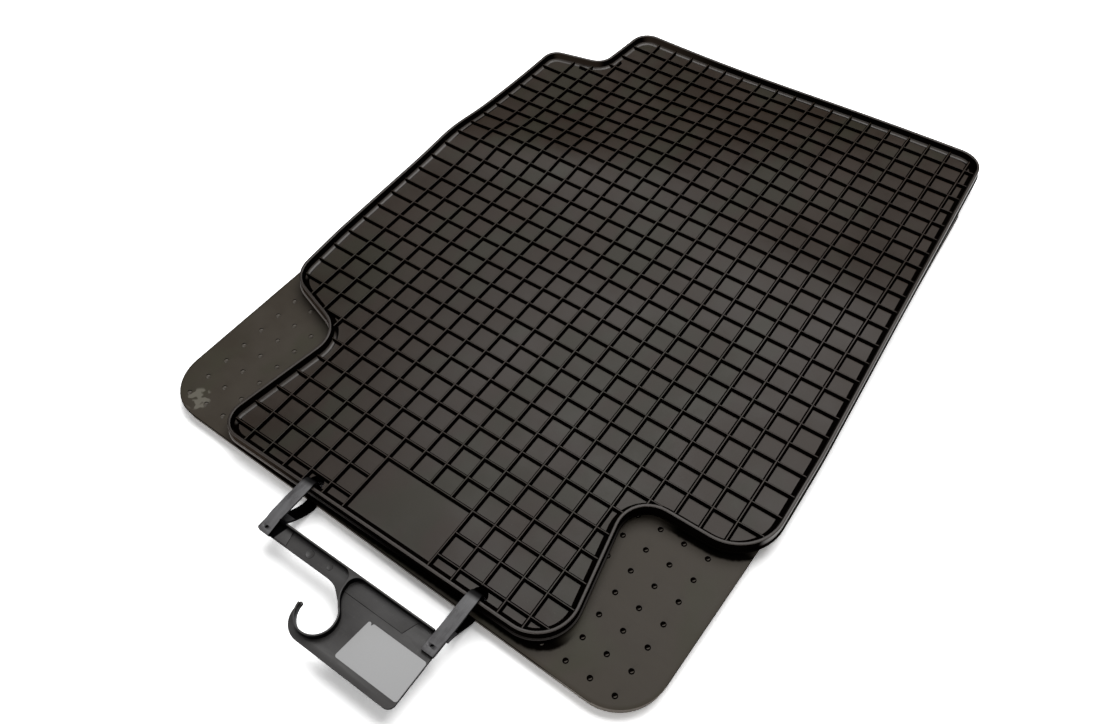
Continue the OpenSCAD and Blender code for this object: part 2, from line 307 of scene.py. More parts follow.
def mat_shell(corners):
    """Floor and rim of a mat as one closed shell, back at z = 0."""
    rings = [ring(corners, d) for d, _ in RIM_SECTION]
    n = len(rings[0])
    points = [np.column_stack([r, np.full(n, z)]) for r, (_, z) in zip(rings, RIM_SECTION)]
    faces = sleeve(len(rings), n)
    edge = rings[0]
    low, high = edge.min(0), edge.max(0)
    inner = ring(corners, RIM_SECTION[0][0] + GRID_MARGIN)
    grid = []
    for x in np.arange(low[0], high[0], PITCH / 2):
        for a, b in crossings(inner, 0, x + GRID_SHIFT):
            for y in np.arange(a, b, PITCH / 2):
                grid.append((x + GRID_SHIFT, y))
    flat = [Vector(p) for p in edge] + [Vector(p) for p in grid]
    edges = [(k, (k + 1) % n) for k in range(n)]
    verts, _, tris, origins, _, _ = delaunay_2d_cdt(flat, edges, [], 1, 1e-6)
    # Each flat point gives one point of the back and one of the floor
    place = {}
    total = len(rings) * n
    extra = []
    for v, source in zip(range(len(verts)), origins):
        if source and source[0] < n:
            place[v] = (source[0], (len(rings) - 1) * n + source[0])
        else:
            place[v] = (total + 2 * len(extra), total + 2 * len(extra) + 1)
            extra.append(verts[v])
    for t in tris:
        faces.append(tuple(place[i][0] for i in reversed(t)))
        faces.append(tuple(place[i][1] for i in t))
    inside = [(v.x, v.y, z) for v in extra for z in (0.0, FLOOR_T)]
    points.append(np.array(inside))
    return np.concatenate(points), faces


def cut(obj, cutters):
    """Cuts closed shapes out of an object and keeps the result as its mesh."""
    for points, faces in cutters:
        tool = mesh_object("cutter", points, faces)
        change = obj.modifiers.new("cut", "BOOLEAN")
        change.operation = "DIFFERENCE"
        change.solver = "EXACT"
        change.object = tool
        bpy.context.view_layer.update()
        done = bpy.data.meshes.new_from_object(obj.evaluated_get(bpy.context.evaluated_depsgraph_get()))
        obj.modifiers.clear()
        old = obj.data
        obj.data = done
        bpy.data.meshes.remove(old)
        spare = tool.data
        bpy.data.objects.remove(tool)
        bpy.data.meshes.remove(spare)


def mat_ribs(corners):
    """Ribs both ways, ended inside the rim, at the plaque and at the holes. None runs close along the rim."""
    outline = ring(corners, RIB_END_INSET)
    field = ring(corners, RIB_FIELD_INSET)
    low, high = outline.min(0), outline.max(0)
    ribs = Shape()
    for axis, first in ((0, RIB_X0), (1, RIB_Y0)):
        k0 = math.ceil((low[axis] - first) / PITCH)
        k1 = math.floor((high[axis] - first) / PITCH)
        for k in range(k0, k1 + 1):
            value = first + k * PITCH
            ends = crossings(outline, axis, value)
            stretches = []
            for a, b in crossings(field, axis, value):
                if b - a > RIB_SHORTEST:
                    low_end = max([c for c, _ in ends if c <= a], default=a)
                    high_end = min([d for _, d in ends if d >= b], default=b)
                    stretches.append((max(low_end, a - RIB_RUN_ON), min(high_end, b + RIB_RUN_ON)))
            if axis == 0 and PLAQUE[0] < value < PLAQUE[1]:
                stretches = without(stretches, -math.inf, PLAQUE[2])
            if axis == 1 and value < PLAQUE[2]:
                stretches = without(stretches, PLAQUE[0], PLAQUE[1])
            for hole in HOLES:
                away = abs(value - hole[axis])
                if away < HOLE_R:
                    reach = math.sqrt(HOLE_R ** 2 - away ** 2) + RIB_HOLE_GAP
                    stretches = without(stretches, hole[1 - axis] - reach, hole[1 - axis] + reach)
            for a, b in stretches:
                ribs.add(*bar(axis, value, a, b, ALONG_SECTION if axis == 0 else ACROSS_SECTION))
    return ribs


def nub_places(low, high, first):
    """Places of the nubs' lattice between low and high, along one axis."""
    count = range(math.ceil((low - first) / NUB_PITCH), math.floor((high - first) / NUB_PITCH) + 1)
    return [first + k * NUB_PITCH for k in count]


def mat_nubs(corners):
    """Nubs over the back, pointing down, but for the places of the holes."""
    outline = ring(corners, NUB_INSET)
    nubs = Shape()
    section = [(r, -z) for r, z in NUB_SECTION]
    for x in nub_places(outline[:, 0].min(), outline[:, 0].max(), NUB_FIRST[0]):
        for a, b in crossings(outline, 0, x):
            for y in nub_places(a, b, NUB_FIRST[1]):
                if all(math.hypot(x - hx, y - hy) > HOLE_R + NUB_HOLE_ROOM for hx, hy in HOLES):
                    nubs.add(*turned_dome(x, y, section))
    return nubs


def inwards(outline, distance):
    """A counter-clockwise outline moved inwards by a small distance, point by point."""
    before = np.roll(outline, 1, 0)
    after = np.roll(outline, -1, 0)
    u = outline - before
    v = after - outline
    u /= np.linalg.norm(u, axis=1)[:, None]
    v /= np.linalg.norm(v, axis=1)[:, None]
    a = np.column_stack([-u[:, 1], u[:, 0]])
    b = np.column_stack([-v[:, 1], v[:, 0]])
    return outline + distance * (a + b) / (1 + np.sum(a * b, axis=1))[:, None]


def plate(outline, low, high, round_low, round_high, steps=3):
    """A flat piece with rounded edges: a counter-clockwise outline raised from low to high."""
    outline = np.asarray(outline, float)
    quarter = [math.pi / 2 * k / steps for k in range(steps + 1)]
    rings = [(round_low * (1 - math.sin(a)), low + round_low * (1 - math.cos(a))) for a in quarter]
    rings += [(round_high * (1 - math.cos(a)), high - round_high * (1 - math.sin(a))) for a in quarter]
    points = []
    for d, z in rings:
        flat = inwards(outline, d) if d > 1e-6 else outline
        points.extend((x, y, z) for x, y in flat)
    n = len(outline)
    faces = sleeve(len(rings), n)
    faces.append(tuple(reversed(range(n))))
    faces.append(tuple(range((len(rings) - 1) * n, len(rings) * n)))
    return points, faces


def arc(cx, cy, r, first, last, step=6.0):
    """Points of an arc, angles in degrees."""
    count = max(2, math.ceil(abs(last - first) / step))
    angles = np.radians(np.linspace(first, last, count + 1))
    return [(cx + r * math.cos(a), cy + r * math.sin(a)) for a in angles]


def smooth_path(knots, per):
    """A smooth line through the knots (Catmull-Rom, chord weighted), with per points to a stretch."""
    k = [np.array(p, float) for p in knots]
    k = [2 * k[0] - k[1]] + k + [2 * k[-1] - k[-2]]
    line = []
    for i in range(1, len(k) - 2):
        p0, p1, p2, p3 = k[i - 1:i + 3]
        t0 = 0.0
        t1 = t0 + math.sqrt(np.linalg.norm(p1 - p0))
        t2 = t1 + math.sqrt(np.linalg.norm(p2 - p1))
        t3 = t2 + math.sqrt(np.linalg.norm(p3 - p2))
        for j in range(per):
            t = t1 + (t2 - t1) * j / per
            a1 = (t1 - t) / (t1 - t0) * p0 + (t - t0) / (t1 - t0) * p1
            a2 = (t2 - t) / (t2 - t1) * p1 + (t - t1) / (t2 - t1) * p2
            a3 = (t3 - t) / (t3 - t2) * p2 + (t - t2) / (t3 - t2) * p3
            b1 = (t2 - t) / (t2 - t0) * a1 + (t - t0) / (t2 - t0) * a2
            b2 = (t3 - t) / (t3 - t1) * a2 + (t - t1) / (t3 - t1) * a3
            line.append((t2 - t) / (t2 - t1) * b1 + (t - t1) / (t2 - t1) * b2)
    line.append(k[-2])
    return np.array(line)


STRAP_ROUND = 0.45


def ribbon(x, path, widths, thick):
    """A flat strap along a path of (y, z) points, with its middle at x, its width and its thickness at each.

    Its long edges are rounded, and its two ends a little drawn in.
    """
    tangent = np.gradient(path, axis=0)
    tangent /= np.linalg.norm(tangent, axis=1)[:, None]
    normal = np.column_stack([-tangent[:, 1], tangent[:, 0]])
    points = []
    for k, (p, n) in enumerate(zip(path, normal)):
        half_w, half_t = widths[k] / 2, thick[k] / 2
        end = min(k, len(path) - 1 - k)
        trim = STRAP_ROUND * {0: 0.7, 1: 0.15}.get(end, 0.0)
        section = []
        for sx, sn, start in ((1, -1, -90), (1, 1, 0), (-1, 1, 90), (-1, -1, 180)):
            for a in (0, 30, 60, 90):
                ang = math.radians(start + a)
                section.append((sx * (half_w - STRAP_ROUND) + (STRAP_ROUND - trim) * math.cos(ang),
                                sn * (half_t - STRAP_ROUND) + (STRAP_ROUND - trim) * math.sin(ang)))
        for w, h in section:
            points.append((x[k] + w, p[0] + n[0] * h, p[1] + n[1] * h))
    return points, closed_sleeve(len(path), len(section))


def object_points(obj):
    """The object's points in millimetres in the part's plan."""
    co = np.empty(len(obj.data.vertices) * 3)
    obj.data.vertices.foreach_get("co", co)
    return (co.reshape(-1, 3) - np.array(ORIGIN)) / MM


def put_points(obj, points):
    co = points * MM + np.array(ORIGIN)
    obj.data.vertices.foreach_set("co", co.ravel())
    obj.data.update()


def settle(obj, move, flip=False):
    """Moves every point of an object by a function of its points, in millimetres."""
    put_points(obj, move(object_points(obj)))
    if flip:
        obj.data.flip_normals()
    obj.data.set_sharp_from_angle(angle=SMOOTH_ANGLE)


def lay_upper(p):
    q = p.copy()
    q[:, 2] += UPPER_BACK_Z + wave_height(p[:, 0], p[:, 1])
    return q


def lay_lower(p):
    c, s = math.cos(LOWER_TURN), math.sin(LOWER_TURN)
    return np.column_stack([p[:, 0] * c - p[:, 1] * s, p[:, 0] * s + p[:, 1] * c, LOWER_BACK_Z - p[:, 2]])


def face_data(obj):
    """Middles in millimetres and normals of an object's faces."""
    count = len(obj.data.polygons)
    middles, normals = np.empty(count * 3), np.empty(count * 3)
    obj.data.polygons.foreach_get("center", middles)
    obj.data.polygons.foreach_get("normal", normals)
    return (middles.reshape(-1, 3) - np.array(ORIGIN)) / MM, normals.reshape(-1, 3)


# Material index of a mat's faces, the same in the two lists of materials below
FLAT, WALL, TOP, LIP, PLAIN = range(5)
NUB = LIP


def rib_shades(middles, normals):
    """Ribs and the nubs of the upper mat: the rubber's grey where flat, and on the sides the black of painted
    shade.
    """
    return np.where(np.abs(normals[:, 2]) < 0.985, PLAIN, FLAT)


def face_shades(middles, normals):
    """The upper mat's shell: walls and fillets, the top of the rim and the lip have their own materials,
    which paint shade, highlights and sheen.
    """
    height, up = middles[:, 2], normals[:, 2]
    shades = np.where(np.abs(up) < 0.993, WALL, FLAT)
    shades[(height > 10.6) & (up > 0.8)] = TOP
    shades[(height > 1.4) & (height < 2.4) & (up > 0.2)] = LIP
    return shades


def back_shades(middles, normals):
    """The lower mat's shell: its walls towards the front and right get the painted light and shadow of its
    near side, other steep faces the black of painted shade.
    """
    forward = 0.7 * normals[:, 0] - 0.7 * normals[:, 1]
    return np.where(np.abs(normals[:, 2]) > 0.93, FLAT, np.where(forward < 0.3, WALL, TOP))


def nub_shades(middles, normals):
    return np.full(len(middles), NUB)


def build_ribs_and_nubs(name, corners):
    ribs, nubs = mat_ribs(corners), mat_nubs(corners)
    lattice = mesh_object(name + "_ribs", ribs.array(), ribs.faces)
    dots = mesh_object(name + "_nubs", nubs.array(), nubs.faces)
    return lattice, dots


def hole_cutters():
    return [turned_dome(x, y, [(HOLE_R, z) for z in HOLE_CUT], 56) for x, y in HOLES]


def build_upper_mat():
    """The upper mat's pieces and their faces' materials, which are chosen before the mat gets its humps."""
    shell = mesh_object("upper_mat_shell", *mat_shell(UPPER_CORNERS))
    cut(shell, hole_cutters())
    lattice, dots = build_ribs_and_nubs("upper_mat", UPPER_CORNERS)
    choosers = ((shell, face_shades), (lattice, rib_shades), (dots, rib_shades))
    shades = [chooser(*face_data(obj)) for obj, chooser in choosers]
    for obj in (shell, lattice, dots):
        settle(obj, lay_upper)
    return (shell, lattice, dots), shades


def build_lower_mat():
    """The lower mat's pieces, turned over, and their faces' materials."""
    shell = mesh_object("lower_mat_shell", *mat_shell(LOWER_CORNERS))
    settle(shell, lay_lower, flip=True)
    notch = [(NOTCH_END_Y - NOTCH_MID_Y, z) for z in NOTCH_CUT]
    cutters = hole_cutters()
    for x in (LEFT_TONGUE_X, RIGHT_TONGUE_X):
        cutters.append(bar(1, NOTCH_MID_Y, x - NOTCH_HALF_W, x + NOTCH_HALF_W, notch, 50))
    cut(shell, cutters)
    lattice, dots = build_ribs_and_nubs("lower_mat", LOWER_CORNERS)
    for obj in (lattice, dots):
        settle(obj, lay_lower, flip=True)
    shell.data.set_sharp_from_angle(angle=SMOOTH_ANGLE)
    choosers = ((shell, back_shades), (lattice, rib_shades), (dots, nub_shades))
    shades = [chooser(*face_data(obj)) for obj, chooser in choosers]
    return (shell, lattice, dots), shades


# ---------------------------------------------------------------- hanger, straps and label
# The hanger is drawn from the middle of the bar's mat side, which is here in the plan
HANGER_X = 14.75
BAR_Y = -30.0
# Its two ends, the bar's and the tab's reach, the hook's throat and outside, and the heights
HANGER_LEFT = -88.75
HANGER_RIGHT = 82.25
BAR_L = 13.6
TAB_L = 60.1
THROAT = (-2.7, -38.6)
THROAT_R = 15.1
HOOK = (-4.0, -43.1)
HOOK_R = 17.0
PLATE_LOW, PLATE_HIGH, FLANGE_HIGH = 19.0, 21.0, 27.0
# Foot of the flanges, sunk into the plate, and foot and height of the flat moulded marks
FLANGE_LOW = PLATE_HIGH - 0.3
MARK_LOW, MARK_HIGH = PLATE_HIGH - 0.1, PLATE_HIGH + 0.5
# Peg under each strap's end, beside the strap's middle line
PEG_DX, PEG_Y = -1.1, -40.2
PEG_HOLE_R = 1.35


def on_hanger(outline):
    """An outline of the hanger's drawing, placed in the plan."""
    return [(x + HANGER_X, y + BAR_Y) for x, y in outline]


def build_hanger():
    """The flat plate with its hook, the flanges that stand on it, and its small moulded marks."""
    outline = [(HANGER_LEFT + 0.8, 0), (HANGER_LEFT, -0.8)]
    outline += [(HANGER_LEFT, -BAR_L + 1.0), (HANGER_LEFT + 1.0, -BAR_L)]
    outline += arc(-17.4, -33.6, 20.0, 90, 50)
    outline += arc(*THROAT, THROAT_R, 50, -180)
    outline += arc(-19.4, -38.6, 1.6, 0, 180, 20)[1:-1]
    outline += arc(*HOOK, HOOK_R, 180, 270)
    outline += arc(HANGER_RIGHT - 6, -TAB_L + 6, 6, -90, 0)
    outline += [(HANGER_RIGHT, -0.8), (HANGER_RIGHT - 0.8, 0)]
    rail_left, rail_right = HANGER_LEFT + 13.2, HANGER_RIGHT - 9.4
    rail = [(rail_left, -1.4), (rail_right, -1.4), (rail_right, -0.02), (rail_left, -0.02)]
    fork = arc(-9.5, -9.4, 8, 90, 0)
    left_side = smooth_path([(-1.5, -9.4), (-0.85, -14.9), (1.7, -20.95), (6.55, -26.7)], 5)
    right_side = smooth_path([(7.6, -25.7), (2.9, -20.2), (0.45, -14.4), (-0.1, -9.4)], 5)
    fork += [tuple(q) for q in left_side[1:]] + [tuple(q) for q in right_side]
    fork += arc(7.9, -9.4, 8, 180, 90)[1:]
    fork += [(7.9, -1.0), (-9.5, -1.0)]
    collar = arc(*THROAT, THROAT_R + 1.4, -178, 53, 4) + arc(*THROAT, THROAT_R + 0.03, 53, -178, 4)

    # The flanges cross, so each has its own top and none of their faces coincide
    body = Shape()
    body.add(*plate(on_hanger(outline), PLATE_LOW, PLATE_HIGH, 0.35, 0.35))
    body.add(*plate(on_hanger(rail), FLANGE_LOW, FLANGE_HIGH, 0.05, 0.3))
    body.add(*plate(on_hanger(fork), FLANGE_LOW, FLANGE_HIGH - 0.02, 0.05, 0.25))
    body.add(*plate(on_hanger(collar), FLANGE_LOW, FLANGE_HIGH - 0.01, 0.05, 0.3))
    for x in (LEFT_TONGUE_X, RIGHT_TONGUE_X):
        body.add(*turned_dome(x + PEG_DX, PEG_Y, [(2.2, 20.8), (2.1, 21.15)], 28))
    hanger = mesh_object("hanger_plate", body.array(), body.faces)

    marks = Shape()
    panel = [(-0.2, -14.5), (54.2, -14.5), (58.7, -2.6), (60, -1.3), (9.0, -1.3), (4.5, -3.6), (1.2, -8.5)]
    tag = [(HANGER_LEFT + 0.6, -12.9), (-59.4, -12.9), (-62.4, -1.3), (HANGER_LEFT + 0.6, -1.3)]
    for shape in (panel, tag):
        marks.add(*plate(on_hanger(shape), MARK_LOW, MARK_HIGH, 0.02, 0.46))
    top = PLATE_HIGH + 0.02
    for x, y, r in ((-40.3, -7.4, 3.3), (-21.3, -6.8, 2.4), (39.5, -8.0, 2.8)):
        section = [(r, top - 0.1), (r, top), (r - 0.15, top + 0.2)]
        section += [(r - 0.5, top + 0.2), (r - 0.8, top + 0.02)]
        marks.add(*turned_dome(HANGER_X + x, BAR_Y + y, section, 32))
    details = mesh_object("hanger_marks", marks.array(), marks.faces)
    return hanger, details


# Knots of each strap's line: sideways from its tongue, width, along, height of its middle and thickness.
# A foot loops under the mats and up through them. A band goes on over the rim to its thicker end on the bar
FEET = {
    "left": [
        (0.6, 10.6, -30.2, 22.5, 2), (0.6, 10.6, -28.8, 19.8, 2), (0.6, 10.6, -25.5, 16.0, 2),
        (0.6, 10.6, -20, 11.2, 2), (0.5, 10.6, -13, 6.2, 2), (0.2, 10.6, -5.2, 2.0, 2),
        (0, 10.4, -1, 1.4, 2), (-0.1, 9.8, 4.3, 1.5, 2), (-0.3, 9.2, 7.3, 2.8, 2),
        (-0.4, 8.8, 8.8, 6, 2), (-0.4, 8.8, 8.8, 12, 2), (-0.4, 8.8, 8.8, 18, 2),
    ],
    "right": [
        (0, 10.6, -31.6, 20.3, 2), (0, 10.6, -28, 19.4, 2), (0, 10.6, -22, 15.6, 2),
        (0, 10.6, -13, 8.6, 2), (0, 10.6, -5.2, 3.2, 2), (0, 10.4, -1, 1.5, 2),
        (0.1, 9.8, 4.3, 1.5, 2), (0.4, 9.2, 7.3, 2.8, 2),
        (0.6, 8.8, 8.8, 6, 2), (0.6, 8.8, 8.8, 12, 2), (0.6, 8.8, 8.8, 18, 2),
    ],
}
BANDS = {
    "left": [
        (-0.4, 8.8, 8.8, 18, 2), (-0.4, 8.8, 8.8, 20.5, 2), (-0.4, 9.0, 8.1, 23.4, 2),
        (-0.3, 9.6, 6.3, 25.9, 2), (-0.2, 10.2, 4.0, 27.2, 2), (-0.1, 10.6, 0.6, 27.5, 2),
        (-0.3, 10.8, -6, 27.3, 2), (-0.9, 11, -14, 26.7, 2), (-1.4, 11, -22, 25.7, 2),
        (-2.0, 11, -29, 24.5, 2.4), (-1.7, 10.8, -34.5, 23.5, 3.3),
        (-1.2, 10.6, -39.5, 23.0, 3.6), (-0.7, 10.5, -44.6, 22.85, 3.6),
    ],
    "right": [
        (0.6, 8.8, 8.8, 18, 2), (0.6, 8.8, 8.8, 20.5, 2), (0.7, 9.0, 8.1, 23.4, 2),
        (0.9, 9.6, 6.3, 25.9, 2), (1.0, 10.2, 4.0, 27.2, 2), (1.0, 10.5, 0.6, 27.5, 2),
        (0.7, 10.8, -6, 27.2, 2), (0.4, 11, -14, 26.5, 2),
        (0.0, 11, -22, 25.5, 2), (-0.5, 11, -29, 24.3, 2.4), (-0.8, 11, -34.5, 23.4, 3.3),
        (-1.0, 11, -39.5, 23.1, 3.6), (-1.2, 11, -46, 23.1, 3.6),
    ],
}


# How far along a foot shows grey
# Further in, under the mats, a foot is black: painted shadow
FOOT_SHADOW_Y = -21


def strap_piece(name, x, knots):
    path = smooth_path([(y, z, u, w, t) for u, w, y, z, t in knots], 7)
    points, faces = ribbon(path[:, 2] + x, path[:, :2], path[:, 3], path[:, 4])
    return mesh_object(name, points, faces)


def build_strap(side, x):
    foot = strap_piece(side + "_strap_foot", x, FEET[side])
    band = strap_piece(side + "_strap_band", x, BANDS[side])
    cut(band, [turned_dome(x + PEG_DX, PEG_Y, [(PEG_HOLE_R, 22.4), (PEG_HOLE_R, 31)], 32)])
    return foot, band


def build_label():
    """A thin stuck label with rounded corners and a nick in its far edge."""
    right, top = HANGER_X + HANGER_RIGHT - 0.5, BAR_Y - BAR_L - 6.8
    outline = arc(right - 2, top - 30.6, 2, -90, 0, 15) + arc(right - 2, top - 2, 2, 0, 90, 15)
    outline += [(right - 47.5, top), (right - 48.3, top - 0.5)]
    outline += [(right - 49.0, top - 2.2), (right - 49.9, top - 0.7)]
    outline += arc(right - 51.0, top - 1.6, 1.4, 70, 180, 15)
    outline += arc(right - 53.6, top - 30.7, 1.9, 180, 270, 15)
    points, faces = plate(outline, PLATE_HIGH + 0.005, PLATE_HIGH + 0.3, 0.02, 0.08, 2)
    return mesh_object("label_sheet", points, faces)


# ---------------------------------------------------------------- materials
class Nodes:
    """Short hand for building a node tree."""

    def __init__(self, name):
        self.material = bpy.data.materials.new(name)
        self.material.use_nodes = True
        self.tree = self.material.node_tree
        self.tree.nodes.clear()
        self.place = self.add("ShaderNodeTexCoord").outputs["Object"]

    def add(self, kind, **settings):
        node = self.tree.nodes.new(kind)
        for key, value in settings.items():
            setattr(node, key, value)
        return node

    def link(self, source, target):
        self.tree.links.new(source, target)

    def parts(self, source):
        """The three numbers of a vector."""
        split = self.add("ShaderNodeSeparateXYZ")
        self.link(source, split.inputs[0])
        return split.outputs[0], split.outputs[1], split.outputs[2]

    def spot(self):
        """Place in the object, in metres."""
        return self.parts(self.place)

    def facing(self):
        """Normal in the object."""
        return self.parts(self.add("ShaderNodeTexCoord").outputs["Normal"])

    def leaning(self, right, near):
        """How far a face leans to the right and towards the near end, each with its weight."""
        nx, ny, _ = self.facing()
        return self.math("SUBTRACT", self.math("MULTIPLY", nx, right), self.math("MULTIPLY", ny, near))

    def noise(self, scale, detail=3.0, roughness=0.5, stretch=None):
        node = self.add("ShaderNodeTexNoise")
        node.inputs["Scale"].default_value = scale
        node.inputs["Detail"].default_value = detail
        node.inputs["Roughness"].default_value = roughness
        if stretch:
            mapping = self.add("ShaderNodeMapping")
            mapping.inputs["Scale"].default_value = stretch
            self.link(self.place, mapping.inputs["Vector"])
            self.link(mapping.outputs["Vector"], node.inputs["Vector"])
        else:
            self.link(self.place, node.inputs["Vector"])
        return node.outputs["Fac"]

    def ramp(self, source, low, high, out_low=0.0, out_high=1.0):
        """A smooth change from out_low at low to out_high at high, which may be the smaller of the two."""
        node = self.add("ShaderNodeMapRange", interpolation_type="SMOOTHSTEP")
        for key, value in (("From Min", low), ("From Max", high), ("To Min", out_low), ("To Max", out_high)):
            node.inputs[key].default_value = value
        self.link(source, node.inputs["Value"])
        return node.outputs["Result"]

    def mix(self, factor, a, b):
        node = self.add("ShaderNodeMix", data_type="RGBA")
        for key, value in ((0, factor), (6, a), (7, b)):
            if hasattr(value, "is_linked"):
                self.link(value, node.inputs[key])
            else:
                node.inputs[key].default_value = (*value, 1.0)
        return node.outputs[2]

    def math(self, operation, a, b):
        node = self.add("ShaderNodeMath", operation=operation)
        for slot, value in enumerate((a, b)):
            if hasattr(value, "is_linked"):
                self.link(value, node.inputs[slot])
            else:
                node.inputs[slot].default_value = value
        return node.outputs[0]

    def bump(self, height, distance, strength, normal=None):
        node = self.add("ShaderNodeBump")
        node.inputs["Distance"].default_value = distance
        node.inputs["Strength"].default_value = strength
        self.link(height, node.inputs["Height"])
        if normal is not None:
            self.link(normal, node.inputs["Normal"])
        return node.outputs["Normal"]

    def finish(self, colour, roughness, normal, gloss):
        """The finished material. Its gloss is one number or the result of a node."""
        shader = self.add("ShaderNodeBsdfPrincipled")
        self.link(colour, shader.inputs["Base Color"])
        self.link(roughness, shader.inputs["Roughness"])
        self.link(normal, shader.inputs["Normal"])
        if hasattr(gloss, "is_linked"):
            self.link(gloss, shader.inputs["Specular IOR Level"])
        else:
            shader.inputs["Specular IOR Level"].default_value = gloss
        output = self.add("ShaderNodeOutputMaterial")
        self.link(shader.outputs[0], output.inputs["Surface"])
        return self.material


def rubber(name, dark, light, dust, rough, gloss=None, bloom=1.0, tint=None, over=None):
    """Moulded black rubber: fine grain, soft cloudy bloom, faint flow streaks and a little dust.

    A function given as over changes the colour from place to place, mostly with painted light and shade, and
    gives the gloss.
    """
    n = Nodes(name)
    cloud = n.ramp(n.noise(14.0, 4.0, 0.6), 0.3, 0.72)
    streak = n.noise(60.0, 3.0, 0.6, (0.25, 1.6, 1.0))
    colour = n.mix(cloud, dark, light)
    colour = n.mix(n.ramp(streak, 0.42, 0.8, 0.0, 0.35), colour, light)
    if tint:
        patches = n.noise(23.0, 2.0, 0.6, (1.0, 0.6, 1.0))
        colour = n.mix(n.ramp(patches, 0.46, 0.66, 0.0, 0.75), colour, tint)
    specks = n.ramp(n.noise(900.0, 2.0, 0.5), 0.70, 0.80)
    speckled = n.math("MULTIPLY", specks, n.ramp(n.noise(25.0, 2.0), 0.45, 0.7, 0.0, 0.5 * bloom))
    colour = n.mix(speckled, colour, dust)
    if over:
        colour, gloss = over(n, colour)
    grain = n.noise(1400.0, 2.0, 0.55)
    normal = n.bump(n.noise(160.0, 3.0, 0.6), 0.00012, 0.4)
    normal = n.bump(grain, 0.00004, 0.6, normal)
    blotch = n.math("ADD", n.math("MULTIPLY", cloud, 0.5), n.math("MULTIPLY", grain, 0.5))
    roughness = n.ramp(blotch, 0.2, 0.8, rough - 0.05, rough + 0.07)
    return n.finish(colour, roughness, normal, gloss)


# Colours by place of the rubber, in linear light: the pale scuffs are the rubber's own, the rest are painted
# sheen, highlights and glints
BLACK = (0.0008, 0.0005, 0.0004)
AWAY_SHEEN = (0.011, 0.0085, 0.0070)
FILLET_HIGHLIGHT = (0.048, 0.0400, 0.0345)
RIGHT_WALL_LIGHT = (0.024, 0.0160, 0.0108)
NEAR_WALL_LIGHT = (0.024, 0.0175, 0.0130)
LIP_HIGHLIGHT = (0.170, 0.152, 0.140)
SCUFF = (0.150, 0.140, 0.115)
SIDE_PAINTED_LIGHT = (0.110, 0.096, 0.082)
NUB_GLINT = (0.068, 0.058, 0.047)


def away_light(n, colour):
    """Walls towards the back and left get a painted sheen: a black a little lighter, with soft gloss."""
    behind = n.math("MULTIPLY", n.ramp(n.leaning(-0.6, -0.8), 0.30, 0.75), n.ramp(n.facing()[2], 0.40, 0.15))
    return n.mix(behind, colour, AWAY_SHEEN), n.ramp(behind, 0.0, 1.0, 0.0, 0.25)


def wall_light(n, colour):
    """Walls are the black of painted shade, and the fillets that lean towards the front and right get a
    painted highlight.

    So do the wall at the far right and, less, the near wall at the left.
    """
    nx, ny, nz = n.facing()
    x = n.spot()[0]
    lit = n.math("MULTIPLY", n.ramp(n.leaning(0.7, 0.7), 0.02, 0.22), n.ramp(nz, 0.38, 0.6))
    side = n.math("MULTIPLY", n.ramp(nx, 0.80, 0.97), n.ramp(x, 0.190, 0.200))
    near = n.math("MULTIPLY", n.ramp(ny, -0.55, -0.9), n.ramp(x, -0.050, -0.150))
    colour, sheen = away_light(n, colour)
    colour = n.mix(near, n.mix(side, n.mix(lit, colour, FILLET_HIGHLIGHT), RIGHT_WALL_LIGHT), NEAR_WALL_LIGHT)
    return colour, n.math("MAXIMUM", sheen, n.ramp(n.math("MAXIMUM", lit, side), 0.0, 1.0, 0.0, 0.34))


def lip_light(n, colour):
    """The lip gets a pale painted highlight at the near left corner, less at the near right one, and is
    black, as painted shade, elsewhere.
    """
    x, y, _ = n.spot()
    right = n.math("MULTIPLY", n.ramp(x, 0.090, 0.160, 0.0, 0.22), n.ramp(y, -0.150, -0.200))
    pale_sheen = n.math("MAXIMUM", n.ramp(x, 0.040, -0.170), right)
    lit = n.math("MULTIPLY", pale_sheen, n.ramp(n.leaning(0.7, 0.7), -0.1, 0.15))
    return n.mix(lit, colour, LIP_HIGHLIGHT), n.ramp(lit, 0.0, 1.0, 0.0, 0.40)


def beyond_corner(n, across, along, r):
    """Distance outside a rounded corner, from the distances past its centre both ways."""
    across, along = n.math("MAXIMUM", across, 0.0), n.math("MAXIMUM", along, 0.0)
    square = n.math("ADD", n.math("MULTIPLY", across, across), n.math("MULTIPLY", along, along))
    return n.math("SUBTRACT", n.math("SQRT", square, 0.0), r)


# The upper mat's near end in the frame: centre line, near edge, half width, radius and lean of its sides
END_X, END_Y, END_HALF_W, END_R = -0.0054, -0.2795, 0.1695, 0.034
LEAN_COS, LEAN_SIN = 0.983, 0.184
# Its corner at the right of the waist: centre and radius
EAR_X, EAR_Y, EAR_R = 0.2021, -0.1006, 0.042


